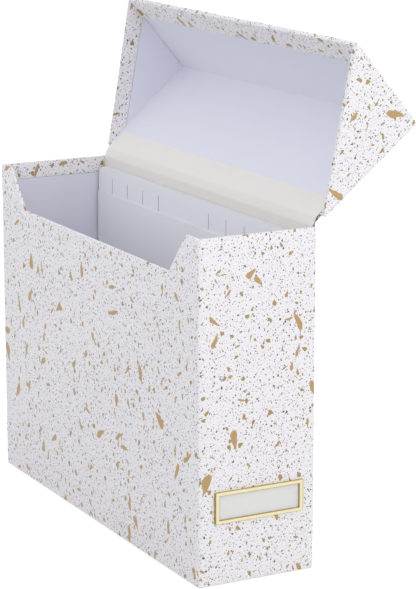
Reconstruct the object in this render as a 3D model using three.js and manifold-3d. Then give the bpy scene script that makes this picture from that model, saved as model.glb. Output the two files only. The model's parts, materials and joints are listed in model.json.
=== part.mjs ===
// Desktop box file: a paper-covered board body with a low front, a hinged wedge lid and card folders.
// Millimetres, +Z up. The origin is the centre of the underside, and the lid stands open at rest.
import * as THREE from 'three';
import { mergeVertices } from 'three/addons/utils/BufferGeometryUtils.js';
import Module from 'manifold-3d';

const wasm = await Module();
wasm.setup();

// Body
const bodyLength = 345;
const bodyDepth = 95;
const bodyHeight = 254;
const bodyCornerRadius = 2.6;

// Sheets that every wall is laid up from, and the line of glue between them
const boardThickness = 1.8;
const paperThickness = 0.3;
const glueLine = 0.1;
const seam = 0.3;

// Low front edge, a trapezium measured from the ends of the body
const notchDepth = 31;
const notchFromEndAtRim = 19.5;
const notchFromEndAtBottom = 46;

// Covering paper turned over the board's edges, and the sheet under the floor
const rimTurnIn = 13;
const turnInClipAlong = 6;
const turnInClipUp = 5;
const baseTurnIn = 15;
const baseSheetMargin = 4;

// Lid
const lidLength = 358;
const lidLengthAtHinge = 351.2;
const lidDepth = 102.75;
const lidSkirt = 80;
const lidFoldRadius = 1.2;
const lidOpenDegrees = 140;
const lidRestGap = 0.3;
const lidRearGap = 6.4;
const cheekEdgeStart = 4;
const cheekTipStart = 8;
const linerMargin = 1.6;
const skirtTurnIn = 20;
const cheekTurnIn = 13;

// Hinge: paper strip outside, cloth strip inside
const stripLap = 15;
const clothThickness = 0.3;
const clothLapBody = 25;
const clothLapLid = 21.5;
const clothStart = 3;
const clothEndClearance = 0.4;

// Card folders
const folderCount = 5;
const folderPitch = 1.6;
const folderGap = 0.3;
const folderCard = 0.4;
const folderEndClearance = 1.8;
const folderBelowRim = 7.5;
const folderFrontDrop = 21;
const folderCornerRadius = 8;
const slitWidth = 0.8;
const slitHeight = 12.4;
const slitBelowTop = 7.5;
const slitFirst = 25.6;
const slitPitch = 28;
const slitGroup = 4;
const slitGroupStep = 6;
const slitGroups = 2;

// Label holder on the right end
const labelWidth = 72;
const labelHeight = 23.5;
const labelCentreY = 1;
const labelCentreZ = 58;
const labelThickness = 2;
const labelCornerRadius = 1;
const labelEdgeRadius = 0.8;
const labelSideBorder = 3.2;
const labelTopBorder = 2.8;
const labelLip = 1.4;
const labelCardThickness = 0.4;
const labelCardClearance = 0.3;

// Reach of a cutter past the face it cuts, and facets per quarter turn
const overcut = 5;
const arcFacets = 6;

// Depths below a wall's outer face at which the sheets start and end
const coverInner = paperThickness;
const boardOuter = coverInner + glueLine;
const boardInner = boardOuter + boardThickness;
const liningOuter = boardInner + glueLine;
const wall = liningOuter + paperThickness;

// Heights of the layers in the floor, and of the board's rim under the covering paper
const coverBottom = paperThickness + glueLine;
const floorBottom = coverBottom + boardOuter;
const floorTop = floorBottom + boardThickness;
const liningFloor = floorTop + glueLine;
const insideFloor = liningFloor + paperThickness;
const boardTop = bodyHeight - boardOuter;

const frontFace = -bodyDepth / 2;
const backFace = bodyDepth / 2;
const rightFace = bodyLength / 2;

// The lid turns about the crease where its outer face meets the back's
const pivotY = backFace;
const pivotZ = bodyHeight + wall + lidRestGap;
const lidOpen = THREE.MathUtils.degToRad(lidOpenDegrees);
const hingeHalf = rightFace - bodyCornerRadius;
const clothHalf = rightFace - wall - clothEndClearance;

const finishes = {
  cover: new THREE.MeshStandardMaterial({ color: 0xf0eff2, roughness: 0.62, metalness: 0 }),
  board: new THREE.MeshStandardMaterial({ color: 0xb9b2a6, roughness: 0.9, metalness: 0 }),
  lining: new THREE.MeshStandardMaterial({ color: 0xe9e9f2, roughness: 0.7, metalness: 0 }),
  cloth: new THREE.MeshStandardMaterial({ color: 0xe2e0da, roughness: 0.9, metalness: 0 }),
  folder: new THREE.MeshStandardMaterial({ color: 0xececf5, roughness: 0.65, metalness: 0 }),
  brass: new THREE.MeshStandardMaterial({ color: 0xe2cf94, roughness: 0.3, metalness: 0.9 }),
  card: new THREE.MeshStandardMaterial({ color: 0xd9dad4, roughness: 0.75, metalness: 0 }),
};

// Closed geometry to a solid, and back
function solidOf(geometry) {
  const bare = geometry.clone();
  bare.deleteAttribute('normal');
  bare.deleteAttribute('uv');
  const merged = mergeVertices(bare, 1e-4);
  const vertProperties = Float32Array.from(merged.attributes.position.array);
  const triVerts = Uint32Array.from(merged.index.array);
  return new wasm.Manifold(new wasm.Mesh({ numProp: 3, vertProperties, triVerts }));
}

function meshOf(name, solid, material) {
  const { vertProperties, triVerts } = solid.getMesh();
  const geometry = new THREE.BufferGeometry();
  geometry.setAttribute('position', new THREE.BufferAttribute(vertProperties, 3));
  geometry.setIndex(new THREE.BufferAttribute(triVerts, 1));
  geometry.computeVertexNormals();
  const mesh = new THREE.Mesh(geometry, material);
  mesh.name = name;
  return mesh;
}

// Outlines
function outline(points) {
  return new THREE.Shape(points.map(([a, b]) => new THREE.Vector2(a, b)));
}

function roundedRectangle(a0, a1, b0, b1, radius) {
  if (radius <= 0) {
    return outline([[a0, b0], [a1, b0], [a1, b1], [a0, b1]]);
  }
  const quarter = Math.PI / 2;
  const shape = new THREE.Shape();
  shape.moveTo(a0 + radius, b0);
  shape.lineTo(a1 - radius, b0);
  shape.absarc(a1 - radius, b0 + radius, radius, -quarter, 0, false);
  shape.lineTo(a1, b1 - radius);
  shape.absarc(a1 - radius, b1 - radius, radius, 0, quarter, false);
  shape.lineTo(a0 + radius, b1);
  shape.absarc(a0 + radius, b1 - radius, radius, quarter, 2 * quarter, false);
  shape.lineTo(a0, b0 + radius);
  shape.absarc(a0 + radius, b0 + radius, radius, 2 * quarter, 3 * quarter, false);
  return shape;
}

// A ribbon of even thickness along a bent line, its second face to the left of the line
function ribbonOutline(line, thickness) {
  const points = line.map(([a, b]) => new THREE.Vector2(a, b));
  const normals = points.slice(1).map((point, i) => {
    const run = point.clone().sub(points[i]).normalize();
    return new THREE.Vector2(-run.y, run.x);
  });
  const backs = points.map((point, i) => {
    const before = normals[Math.max(i - 1, 0)];
    const after = normals[Math.min(i, normals.length - 1)];
    const mitre = before.clone().add(after).divideScalar(1 + before.dot(after));
    return point.clone().addScaledVector(mitre, thickness);
  });
  return new THREE.Shape([...points, ...backs.reverse()]);
}

// Outlines drawn out along one axis: XY along Z, YZ along X, XZ along Y
function extruded(shape, depth) {
  return new THREE.ExtrudeGeometry(shape, { depth, bevelEnabled: false, curveSegments: arcFacets });
}

function alongZ(shape, z0, z1) {
  return solidOf(extruded(shape, z1 - z0).translate(0, 0, z0));
}

function alongX(shape, x0, x1) {
  const turn = new THREE.Matrix4().set(0, 0, 1, x0, 1, 0, 0, 0, 0, 1, 0, 0, 0, 0, 0, 1);
  return solidOf(extruded(shape, x1 - x0).applyMatrix4(turn));
}

function alongY(shape, y0, y1) {
  const turn = new THREE.Matrix4().set(1, 0, 0, 0, 0, 0, -1, y1, 0, 1, 0, 0, 0, 0, 0, 1);
  return solidOf(extruded(shape, y1 - y0).applyMatrix4(turn));
}

function block(x0, x1, y0, y1, z0, z1) {
  const box = new THREE.BoxGeometry(x1 - x0, y1 - y0, z1 - z0);
  return solidOf(box.translate((x0 + x1) / 2, (y0 + y1) / 2, (z0 + z1) / 2));
}

// The body's outer form, drawn in by the depth of a layer
function bodyForm(inset, z0, z1) {
  const x = rightFace - inset;
  const y = backFace - inset;
  return alongZ(roundedRectangle(-x, x, -y, y, bodyCornerRadius - inset), z0, z1);
}

// The low front's cutter, grown by an offset square to its edges
function notch(offset, y0, y1) {
  const rimHalf = rightFace - notchFromEndAtRim;
  const bottomHalf = rightFace - notchFromEndAtBottom;
  const lean = (rimHalf - bottomHalf) / notchDepth;
  const depth = notchDepth + offset;
  const topHalf = rimHalf + offset * Math.hypot(1, lean);
  const above = topHalf + lean * overcut;
  const below = topHalf - lean * depth;
  const top = bodyHeight + overcut;
  const bottom = bodyHeight - depth;
  return alongY(outline([[-below, bottom], [below, bottom], [above, top], [-above, top]]), y0, y1);
}

// Tray folded from one blank of board
function bodyBoard() {
  return bodyForm(boardOuter, floorBottom, boardTop)
    .subtract(bodyForm(boardInner, floorTop, boardTop + overcut))
    .subtract(notch(boardOuter, frontFace - overcut, frontFace + wall + overcut));
}

// Corner cut off the turned-in paper of each end, beside the cloth, below a slanting line
function turnInClip(gap) {
  const y = backFace - wall;
  const rise = turnInClipUp / turnInClipAlong;
  const z = bodyHeight - rimTurnIn - gap * Math.hypot(1, rise);
  const low = bodyHeight - rimTurnIn - 1;
  return alongX(outline([
    [y - turnInClipAlong, low],
    [y + 1, low],
    [y + 1, z + turnInClipUp + rise],
    [y - turnInClipAlong, z],
  ]), -rightFace, rightFace);
}

// Covering paper: outside, over the rim and the low front, and turned in at the top and under the floor
function bodyCover() {
  const bare = baseTurnIn;
  const underOpening = block(-rightFace + bare, rightFace - bare, frontFace + bare, backFace - bare,
    0, floorBottom);
  const skin = bodyForm(0, coverBottom, bodyHeight)
    .subtract(bodyForm(coverInner, coverBottom + paperThickness, bodyHeight - paperThickness))
    .subtract(bodyForm(wall, boardTop, bodyHeight + overcut))
    .subtract(underOpening);
  const rimTop = bodyHeight - paperThickness / 2;
  const rimBand = bodyForm(liningOuter, bodyHeight - rimTurnIn, rimTop)
    .subtract(bodyForm(wall, bodyHeight - rimTurnIn - overcut, bodyHeight))
    .subtract(turnInClip(0));
  const notchBand = notch(rimTurnIn, frontFace + liningOuter, frontFace + wall)
    .add(notch(paperThickness, frontFace + coverInner / 2, frontFace + wall))
    .intersect(bodyForm(coverInner / 2, coverBottom, rimTop));
  const hingeZone = block(-hingeHalf - seam, hingeHalf + seam, backFace - wall - seam, backFace + overcut,
    bodyHeight - stripLap - seam, bodyHeight + overcut);
  return skin
    .add(rimBand)
    .add(notchBand)
    .subtract(notch(0, frontFace - overcut, frontFace + wall + overcut))
    .subtract(hingeZone);
}

// White lining of the inside, up to the edge of the turned-in paper and of the hinge cloth
function bodyLiner() {
  const clothZone = block(-rightFace + wall, rightFace - wall, backFace - wall - seam, backFace,
    bodyHeight - clothLapBody - seam, bodyHeight);
  const besideCloth = bodyForm(liningOuter, liningFloor, bodyHeight - rimTurnIn + turnInClipUp)
    .intersect(turnInClip(seam));
  return bodyForm(liningOuter, liningFloor, bodyHeight - rimTurnIn - seam)
    .add(besideCloth)
    .subtract(bodyForm(wall, insideFloor, bodyHeight))
    .subtract(notch(rimTurnIn + seam, frontFace - overcut, frontFace + wall + overcut))
    .subtract(clothZone);
}

// Sheet glued under the floor, which the box stands on
function baseSheet() {
  const x = rightFace - baseSheetMargin;
  const y = backFace - baseSheetMargin;
  return block(-x, x, -y, y, 0, paperThickness);
}

// The lid is drawn closed, with the pivot at its origin: its front is at -Y and its skirt hangs down.
// Depth of a cheek's slanting edge below the lid's top, drawn in by an offset square to that edge
function cheekEdge(fromPivot, offset) {
  const slope = lidSkirt / (lidDepth - cheekEdgeStart);
  return slope * (fromPivot - cheekEdgeStart) - offset * Math.hypot(1, slope);
}

// Rounded block that softens the lid's folds
function lidEnvelope(inset) {
  const x = lidLength / 2 - inset;
  const front = -lidDepth + inset;
  const radius = lidFoldRadius - inset;
  const far = lidDepth;
  const low = -lidSkirt - far;
  return alongZ(roundedRectangle(-x, x, front, far, radius), low, far)
    .intersect(alongY(roundedRectangle(-x, x, low, -inset, radius), front - overcut, far))
    .intersect(alongX(roundedRectangle(front, far, low, -inset, radius), -x, x));
}

// The lid is a little narrower at the hinge than along its skirt, so its cheeks splay
function splayed(solid) {
  const narrowing = 1 - lidLengthAtHinge / lidLength;
  return solid.warp((point) => {
    point[0] *= 1 - narrowing * (1 + point[1] / lidDepth);
  });
}

// Top, skirt and two cheeks as slabs, all drawn in by a layer's depth on every face and edge
function lidPanels(inset) {
  const x = lidLength / 2 - inset;
  const xIn = lidLength / 2 - wall + inset;
  const front = -lidDepth + inset;
  const top = block(-x, x, front, -lidRearGap - inset, -wall + inset, -inset);
  const skirt = block(-x, x, front, -lidDepth + wall - inset, -lidSkirt + inset, -inset);
  const tip = cheekTipStart + inset;
  const cheek = outline([
    [front, -inset],
    [front, -cheekEdge(lidDepth - inset, inset)],
    [-tip, -cheekEdge(tip, inset)],
    [-tip, -inset],
  ]);
  return splayed(top
    .add(skirt)
    .add(alongX(cheek, -x, -xIn))
    .add(alongX(cheek, xIn, x))
    .intersect(lidEnvelope(inset)));
}

// The lid's hollow below a layer, and the part of it that the lining covers
function lidHollow(inset) {
  const x = lidLength / 2 - inset;
  return splayed(block(-x, x, -lidDepth + inset, overcut, -lidSkirt - overcut, -inset));
}

function linedZone(gap) {
  const skirtLine = lidSkirt - skirtTurnIn - gap;
  const offset = cheekTurnIn + gap;
  const slope = lidSkirt / (lidDepth - cheekEdgeStart);
  const cornerAt = cheekEdgeStart + (skirtLine + offset * Math.hypot(1, slope)) / slope;
  const corner = Math.min(cornerAt, lidDepth);
  const low = wall + seam;
  const bandEnd = cheekEdgeStart + (low + offset * Math.hypot(1, slope)) / slope;
  const rear = lidRearGap + linerMargin + gap;
  return alongX(outline([
    [-lidDepth - overcut, 0],
    [-lidDepth - overcut, -skirtLine],
    [-corner, -skirtLine],
    [-Math.max(bandEnd, rear), -low],
    [-rear, -low],
    [-rear, 0],
  ]), -lidLength, lidLength);
}

// Where the cloth lies on the inside of the lid, with a seam around it
function lidClothZone() {
  return block(-clothHalf - seam, clothHalf + seam, -clothLapLid - seam, overcut,
    -wall - seam, -liningOuter);
}

function lidBoard() {
  return lidPanels(boardOuter);
}

// Covering paper of the lid, turned in over the skirt's and the cheeks' edges
function lidCover() {
  const stripZone = block(-hingeHalf - seam, hingeHalf + seam, -stripLap - seam, overcut,
    -boardOuter, overcut);
  return lidPanels(0)
    .subtract(lidPanels(coverInner))
    .subtract(lidHollow(boardInner).intersect(linedZone(0)))
    .subtract(stripZone)
    .subtract(lidClothZone());
}

function lidLiner() {
  return lidHollow(liningOuter)
    .subtract(lidHollow(wall))
    .intersect(linedZone(seam))
    .subtract(lidClothZone());
}

// A point of the open lid in the body's YZ plane, from its place along and below the closed lid
function onOpenLid(fromPivot, below) {
  const point = new THREE.Vector3(0, -fromPivot, -below).applyAxisAngle(new THREE.Vector3(1, 0, 0), -lidOpen);
  return [pivotY + point.y, pivotZ + point.z];
}

// Paper strip that joins the back's outside to the lid's
function hingeStrip() {
  const line = [
    [backFace, bodyHeight - stripLap],
    [pivotY, pivotZ],
    onOpenLid(stripLap, 0),
  ];
  return alongX(ribbonOutline(line, paperThickness), -hingeHalf, hingeHalf);
}

// Cloth strip over the joint on the inside, drawn taut by the open lid
function hingeCloth() {
  const line = [
    [backFace - wall + clothThickness, bodyHeight - clothLapBody],
    [backFace - wall + clothThickness, bodyHeight],
    onOpenLid(clothStart, wall - clothThickness),
    onOpenLid(clothLapLid, wall - clothThickness),
  ];
  return alongX(ribbonOutline(line, clothThickness), -clothHalf, clothHalf);
}

// A folded card with a low front leaf, and slits for index tabs along the top of its back leaf
function folder(index) {
  const centre = backFace - wall - folderGap - folderPitch * (index + 0.5);
  const half = (folderPitch - folderGap) / 2;
  const bottom = insideFloor + folderGap;
  const backTop = bodyHeight - folderBelowRim;
  const frontTop = backTop - folderFrontDrop;
  const x = rightFace - wall - folderEndClearance;
  const fold = bottom + half;
  const inner = half - folderCard;
  const section = new THREE.Shape();
  section.moveTo(centre - half, frontTop);
  section.lineTo(centre - half, fold);
  section.absarc(centre, fold, half, Math.PI, 2 * Math.PI, false);
  section.lineTo(centre + half, backTop);
  section.lineTo(centre + inner, backTop);
  section.lineTo(centre + inner, fold);
  section.absarc(centre, fold, inner, 0, -Math.PI, true);
  section.lineTo(centre - inner, frontTop);
  const corners = roundedRectangle(-x, x, bottom - folderCornerRadius, backTop, folderCornerRadius);
  let card = alongX(section, -x, x).intersect(alongY(corners, centre - folderPitch, centre + folderPitch));
  const slitTop = backTop - slitBelowTop;
  for (let group = 0; group < slitGroups; group += 1) {
    for (let place = 0; place < slitGroup; place += 1) {
      const at = -x + slitFirst + slitPitch * (group * slitGroupStep + place);
      card = card.subtract(block(at - slitWidth / 2, at + slitWidth / 2, centre, centre + folderPitch,
        slitTop - slitHeight, slitTop));
    }
  }
  return card;
}

// Stamped label holder: a frame with a rounded rim, open behind for the card
function labelFrame() {
  const y0 = labelCentreY - labelWidth / 2;
  const y1 = labelCentreY + labelWidth / 2;
  const z0 = labelCentreZ - labelHeight / 2;
  const z1 = labelCentreZ + labelHeight / 2;
  const outside = roundedRectangle(y0, y1, z0, z1, labelCornerRadius);
  const side = labelSideBorder;
  const rail = labelTopBorder;
  outside.holes.push(roundedRectangle(y0 + side, y1 - side, z0 + rail, z1 - rail,
    labelCornerRadius - labelEdgeRadius));
  const plate = new THREE.ExtrudeGeometry(outside, {
    depth: labelThickness - labelEdgeRadius,
    bevelThickness: labelEdgeRadius,
    bevelSize: labelEdgeRadius,
    bevelOffset: -labelEdgeRadius,
    bevelSegments: 4,
    curveSegments: arcFacets,
  });
  const turn = new THREE.Matrix4().set(0, 0, 1, rightFace, 1, 0, 0, 0, 0, 1, 0, 0, 0, 0, 0, 1);
  const behind = block(rightFace - labelEdgeRadius - overcut, rightFace, y0 - overcut, y1 + overcut,
    z0 - overcut, z1 + overcut);
  const grow = labelLip + labelCardClearance;
  const pocket = block(rightFace - overcut, rightFace + labelCardThickness + labelCardClearance,
    y0 + side - grow, y1 - side + grow, z0 + rail - grow, z1 - rail + grow);
  return solidOf(plate.applyMatrix4(turn)).subtract(behind).subtract(pocket);
}

function labelCard() {
  const y = labelWidth / 2 - labelSideBorder + labelLip;
  const z = labelHeight / 2 - labelTopBorder + labelLip;
  return block(rightFace, rightFace + labelCardThickness, labelCentreY - y, labelCentreY + y,
    labelCentreZ - z, labelCentreZ + z);
}

const boxFile = new THREE.Group();
boxFile.add(meshOf('body_board', bodyBoard(), finishes.board));
boxFile.add(meshOf('body_cover', bodyCover(), finishes.cover));
boxFile.add(meshOf('body_liner', bodyLiner(), finishes.lining));
boxFile.add(meshOf('base_sheet', baseSheet(), finishes.cover));
boxFile.add(meshOf('hinge_strip', hingeStrip(), finishes.cover));
boxFile.add(meshOf('hinge_cloth', hingeCloth(), finishes.cloth));
boxFile.add(meshOf('label_frame', labelFrame(), finishes.brass));
boxFile.add(meshOf('label_card', labelCard(), finishes.card));
for (let index = 0; index < folderCount; index += 1) {
  boxFile.add(meshOf(`folder_${index + 1}`, folder(index), finishes.folder));
}

const lid = new THREE.Group();
lid.position.set(0, pivotY, pivotZ);
lid.rotation.x = -lidOpen;
lid.add(meshOf('lid_board', lidBoard(), finishes.board));
lid.add(meshOf('lid_cover', lidCover(), finishes.cover));
lid.add(meshOf('lid_liner', lidLiner(), finishes.lining));
boxFile.add(lid);

export default boxFile;
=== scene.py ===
# %% [markdown]
# A desktop box file stands open. Its board walls are covered with speckled paper and lined with
# plain white paper, a strip of book cloth carries the lid, and folded cards stand inside.
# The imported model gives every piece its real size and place, and this script dresses it. The
# covers, the lid's lining, the cloth, the folders and the brass label holder are modelled again
# here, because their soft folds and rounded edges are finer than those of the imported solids.
# The boards, the body's lining, the base sheet and the label's card stay.

import json
import math

import bmesh
import bpy
from mathutils import Matrix, Vector

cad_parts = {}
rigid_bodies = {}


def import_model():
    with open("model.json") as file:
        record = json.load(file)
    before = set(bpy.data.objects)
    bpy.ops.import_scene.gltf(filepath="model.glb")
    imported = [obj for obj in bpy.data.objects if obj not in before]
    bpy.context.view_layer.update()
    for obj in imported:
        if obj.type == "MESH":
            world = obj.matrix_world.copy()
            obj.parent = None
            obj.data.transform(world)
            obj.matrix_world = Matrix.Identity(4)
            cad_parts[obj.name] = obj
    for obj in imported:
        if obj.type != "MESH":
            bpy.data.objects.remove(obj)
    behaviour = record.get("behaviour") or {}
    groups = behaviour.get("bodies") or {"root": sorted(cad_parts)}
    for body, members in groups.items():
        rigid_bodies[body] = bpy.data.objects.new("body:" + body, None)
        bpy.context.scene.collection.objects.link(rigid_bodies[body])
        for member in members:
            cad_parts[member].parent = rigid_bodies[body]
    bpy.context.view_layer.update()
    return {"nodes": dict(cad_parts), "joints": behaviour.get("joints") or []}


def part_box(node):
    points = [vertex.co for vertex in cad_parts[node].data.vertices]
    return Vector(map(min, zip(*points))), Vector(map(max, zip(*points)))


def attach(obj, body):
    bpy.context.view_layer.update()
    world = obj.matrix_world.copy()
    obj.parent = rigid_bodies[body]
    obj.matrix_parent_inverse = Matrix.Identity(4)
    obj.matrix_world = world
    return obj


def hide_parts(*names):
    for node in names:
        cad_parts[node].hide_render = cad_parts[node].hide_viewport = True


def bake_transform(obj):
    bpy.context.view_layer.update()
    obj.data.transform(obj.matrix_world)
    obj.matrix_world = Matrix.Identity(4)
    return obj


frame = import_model()
nodes = frame["nodes"]
MM = 0.001

# %% [markdown]
# The joint says where the lid turns. The boxes of two nodes say how large the body is, so that
# the camera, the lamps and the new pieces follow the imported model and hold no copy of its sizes.

# %% Sizes taken from the frame
cover_low, cover_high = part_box("body_cover")
lining_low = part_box("body_liner")[0]
length = cover_high.x - cover_low.x
depth = cover_high.y - cover_low.y
height = cover_high.z
hinge = frame["joints"][0]
pivot = Vector(hinge["pos_m"])
lid_open = math.radians(hinge["range_deg"][1])
print("body:", round(length, 4), round(depth, 4), round(height, 4))
print("lid turns at", tuple(round(v, 4) for v in pivot))

# %% [markdown]
# A long lens far away keeps the box's upright edges nearly parallel, as in a catalogue picture.
# The camera looks past the label's end at the low front, a little from above. Its place is the
# point it aims at plus a distance along its own backward direction, so it needs no tracking.

# %% Camera
CAMERA_AZIMUTH = math.radians(61.87)
CAMERA_ELEVATION = math.radians(13.11)
CAMERA_DISTANCE = 1.777
CAMERA_LENS = 140.3
AIM_ASIDE = 0.0460
AIM_ABOVE = 0.0466

back = Vector((
    math.sin(CAMERA_AZIMUTH) * math.cos(CAMERA_ELEVATION),
    -math.cos(CAMERA_AZIMUTH) * math.cos(CAMERA_ELEVATION),
    math.sin(CAMERA_ELEVATION),
))
aside = Vector((math.cos(CAMERA_AZIMUTH), math.sin(CAMERA_AZIMUTH), 0))
above = back.cross(aside)
aim = Vector((0, 0, height / 2)) + aside * AIM_ASIDE + above * AIM_ABOVE
bpy.ops.object.camera_add(location=aim + back * CAMERA_DISTANCE)
camera = bpy.context.object
camera.name = "studio_camera"
camera.rotation_euler = Matrix((aside, above, back)).transposed().to_euler()
camera.data.sensor_width = 36
camera.data.lens = CAMERA_LENS
camera.data.clip_start = 0.05
camera.data.clip_end = 50
bpy.context.scene.camera = camera
bpy.context.scene.view_settings.view_transform = "Standard"
print("camera at", tuple(round(v, 3) for v in camera.location))

# %% [markdown]
# The floor is a large pale disc. On a white page a floor has no edge, so the camera, and whatever
# the camera sees in a mirror or through glass, sees it a little brighter than it is. Light Path
# tells these rays from those that light the box. Only the seen brightness changes, so the floor
# still takes the box's soft shadow and throws a natural amount of light back up.

# %% Floor
FLOOR_COLOUR = (0.7, 0.7, 0.71, 1)
FLOOR_LIFT = 0.5
WHITE = (1, 1, 1, 1)


def nothing_selected():
    if bpy.context.object and bpy.context.object.mode != "OBJECT":
        bpy.ops.object.mode_set(mode="OBJECT")
    bpy.ops.object.select_all(action="DESELECT")


def sees_page(tree):
    """A socket that is 1 for rays from the camera, from a mirror or through glass, and else 0."""
    ray = tree.nodes.new("ShaderNodeLightPath")
    found = ray.outputs["Is Camera Ray"]
    for kind in ("Is Glossy Ray", "Is Transmission Ray"):
        either = tree.nodes.new("ShaderNodeMath")
        either.operation = "MAXIMUM"
        tree.links.new(found, either.inputs[0])
        tree.links.new(ray.outputs[kind], either.inputs[1])
        found = either.outputs[0]
    return found


nothing_selected()
bpy.ops.mesh.primitive_circle_add(vertices=96, radius=12, fill_type="NGON")
floor = bpy.context.object
floor.name = "studio_floor"
floor_paint = bpy.data.materials.new("studio_floor")
floor_paint.use_nodes = True
floor_tree = floor_paint.node_tree
floor_shader = floor_tree.nodes["Principled BSDF"]
floor_shader.inputs["Base Color"].default_value = FLOOR_COLOUR
floor_shader.inputs["Roughness"].default_value = 0.9
floor_shader.inputs["Emission Color"].default_value = WHITE
lift = floor_tree.nodes.new("ShaderNodeMath")
lift.operation = "MULTIPLY"
lift.inputs[1].default_value = FLOOR_LIFT
floor_tree.links.new(sees_page(floor_tree), lift.inputs[0])
floor_tree.links.new(lift.outputs[0], floor_shader.inputs["Emission Strength"])
floor.data.materials.append(floor_paint)
print("floor:", [round(v, 1) for v in floor.dimensions], "m")

# %% [markdown]
# The world does two jobs. The camera sees it as a white page, and so do the brass and the ink,
# which mirror it. The light on the box comes from an even and faintly blue sky instead, a bit
# weaker than the page, so that white paper keeps its shades. A Mix Shader chooses between them.

# %% World
WORLD_COLOUR = (0.93, 0.95, 1.0, 1)
WORLD_STRENGTH = 0.92

world = bpy.data.worlds.new("studio_world")
bpy.context.scene.world = world
world.use_nodes = True
world_tree = world.node_tree
even = world_tree.nodes["Background"]
even.inputs["Color"].default_value = WORLD_COLOUR
even.inputs["Strength"].default_value = WORLD_STRENGTH
page = world_tree.nodes.new("ShaderNodeBackground")
page.inputs["Color"].default_value = WHITE
page.inputs["Strength"].default_value = 1
behind = world_tree.nodes.new("ShaderNodeMixShader")
world_tree.links.new(sees_page(world_tree), behind.inputs[0])
world_tree.links.new(even.outputs[0], behind.inputs[1])
world_tree.links.new(page.outputs[0], behind.inputs[2])
world_tree.links.new(behind.outputs[0], world_tree.nodes["World Output"].inputs["Surface"])
print("world nodes:", [node.bl_idname for node in world_tree.nodes])

# %% [markdown]
# White paper needs gentle light. A large lamp on the label's side models the corner between the
# two walls, a weaker one fills the low front, and a faint one shines down into the box. Large
# area lamps are chosen because their shadows have soft edges.

# %% Lamps


def area_lamp(name, place, size, power, colour):
    """A rectangular lamp that is aimed at the middle of the box."""
    direction = Vector((0, 0, height * 0.6)) - Vector(place)
    bpy.ops.object.light_add(type="AREA", location=place)
    lamp = bpy.context.object
    lamp.name = name
    lamp.rotation_euler = direction.to_track_quat("-Z", "Y").to_euler()
    lamp.data.shape = "RECTANGLE"
    lamp.data.size, lamp.data.size_y = size
    lamp.data.energy = power
    lamp.data.color = colour
    print(name, "of", power, "W at", round(direction.length, 2), "m")


area_lamp("key_lamp", (2.5, 0.7, 1.1), (1.6, 1.6), 13, (1.0, 0.98, 0.95))
area_lamp("front_lamp", (-0.1, -1.1, 2.3), (1.8, 1.6), 2.2, (0.97, 0.98, 1.0))
area_lamp("top_lamp", (0.2, -0.1, 2.4), (1.4, 1.4), 1.0, (1.0, 1.0, 1.0))

# %% [markdown]
# A small set of helpers keeps each material short. One adds a node and joins its inputs, given
# as numbers or as the sockets of other nodes. Another starts a material with its plain values,
# which stay on the shader's own sockets. Colours are written as they look on a screen, which is
# easier to judge than Blender's linear values, and a helper converts them.

# %% Helpers for materials


class Paint:
    """A material under construction, with its shader and a short way to add nodes."""

    def __init__(self, name, roughness, **constants):
        self.material = bpy.data.materials.new(name)
        self.material.use_nodes = True
        self.tree = self.material.node_tree
        self.shader = self.tree.nodes["Principled BSDF"]
        self.shader.inputs["Roughness"].default_value = roughness
        for socket, value in constants.items():
            self.shader.inputs[socket.replace("_", " ")].default_value = value

    def add(self, kind, inputs=(), out=0, **settings):
        node = self.tree.nodes.new("ShaderNode" + kind)
        for key, value in settings.items():
            setattr(node, key, value)
        pairs = inputs.items() if isinstance(inputs, dict) else enumerate(inputs)
        for key, value in pairs:
            if isinstance(value, bpy.types.NodeSocket):
                self.tree.links.new(value, node.inputs[key])
            elif value is not None:
                node.inputs[key].default_value = value
        return node.outputs[out]

    def math(self, operation, *values):
        return self.add("Math", values, operation=operation)

    def vector(self, operation, *values, out=0):
        return self.add("VectorMath", values, out=out, operation=operation)

    def ramp(self, value, low, high, start=0.0, end=1.0):
        return self.add("MapRange", (value, low, high, start, end))

    def mix(self, factor, first, second):
        inputs = {"Factor": factor, 6: first, 7: second}
        return self.add("Mix", inputs, out=2, data_type="RGBA")

    def axes(self, socket):
        self.add("SeparateXYZ", (socket,))
        return self.tree.nodes[-1].outputs

    def place(self):
        return self.add("TexCoord", out="Object")

    def colour(self, socket):
        self.tree.links.new(socket, self.shader.inputs["Base Color"])

    def roughness(self, socket):
        self.tree.links.new(socket, self.shader.inputs["Roughness"])

    def bump(self, height_socket, depth_m, strength=1.0):
        settings = {"Strength": strength, "Distance": depth_m, "Height": height_socket}
        self.tree.links.new(self.add("Bump", settings), self.shader.inputs["Normal"])


def rgb(red, green, blue):
    """A colour given as it is seen on screen, from 0 to 255, as Blender's linear values."""
    parts = (v / 255 for v in (red, green, blue))
    return tuple(v / 12.92 if v <= 0.04045 else ((v + 0.055) / 1.055) ** 2.4 for v in parts) + (1,)


def dimmed(colour, share):
    """The same colour with less light in it."""
    return tuple(v * share for v in colour[:3]) + (1,)


print("a middle grey in linear values:", [round(v, 3) for v in rgb(128, 128, 128)])

# %% [markdown]
# The covering paper is printed as if gold ink had been flicked at it. A flat Voronoi texture
# scatters the drops, because each of its cells holds one point at a known place. White noise at
# that point gives three random numbers: one says whether there is a drop and how large, one
# turns it, and one makes it slim or fat. Most drops run up or down the sheet. A little noise bends
# the plane first, so that no outline is regular.

# %% One layer of ink drops
CELL_DISORDER = 0.9
SIDEWAYS_SHARE = 0.55
MOSTLY_SMALL = 1.8
SMALLEST_DROP = 0.22
HEAD_WIDTH, TAIL_WIDTH = 1.25, 0.35
SLIM_DROP, FAT_DROP = 0.6, 1.5
RIM_INSIDE, RIM_OUTSIDE = 0.85, 1.15


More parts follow.
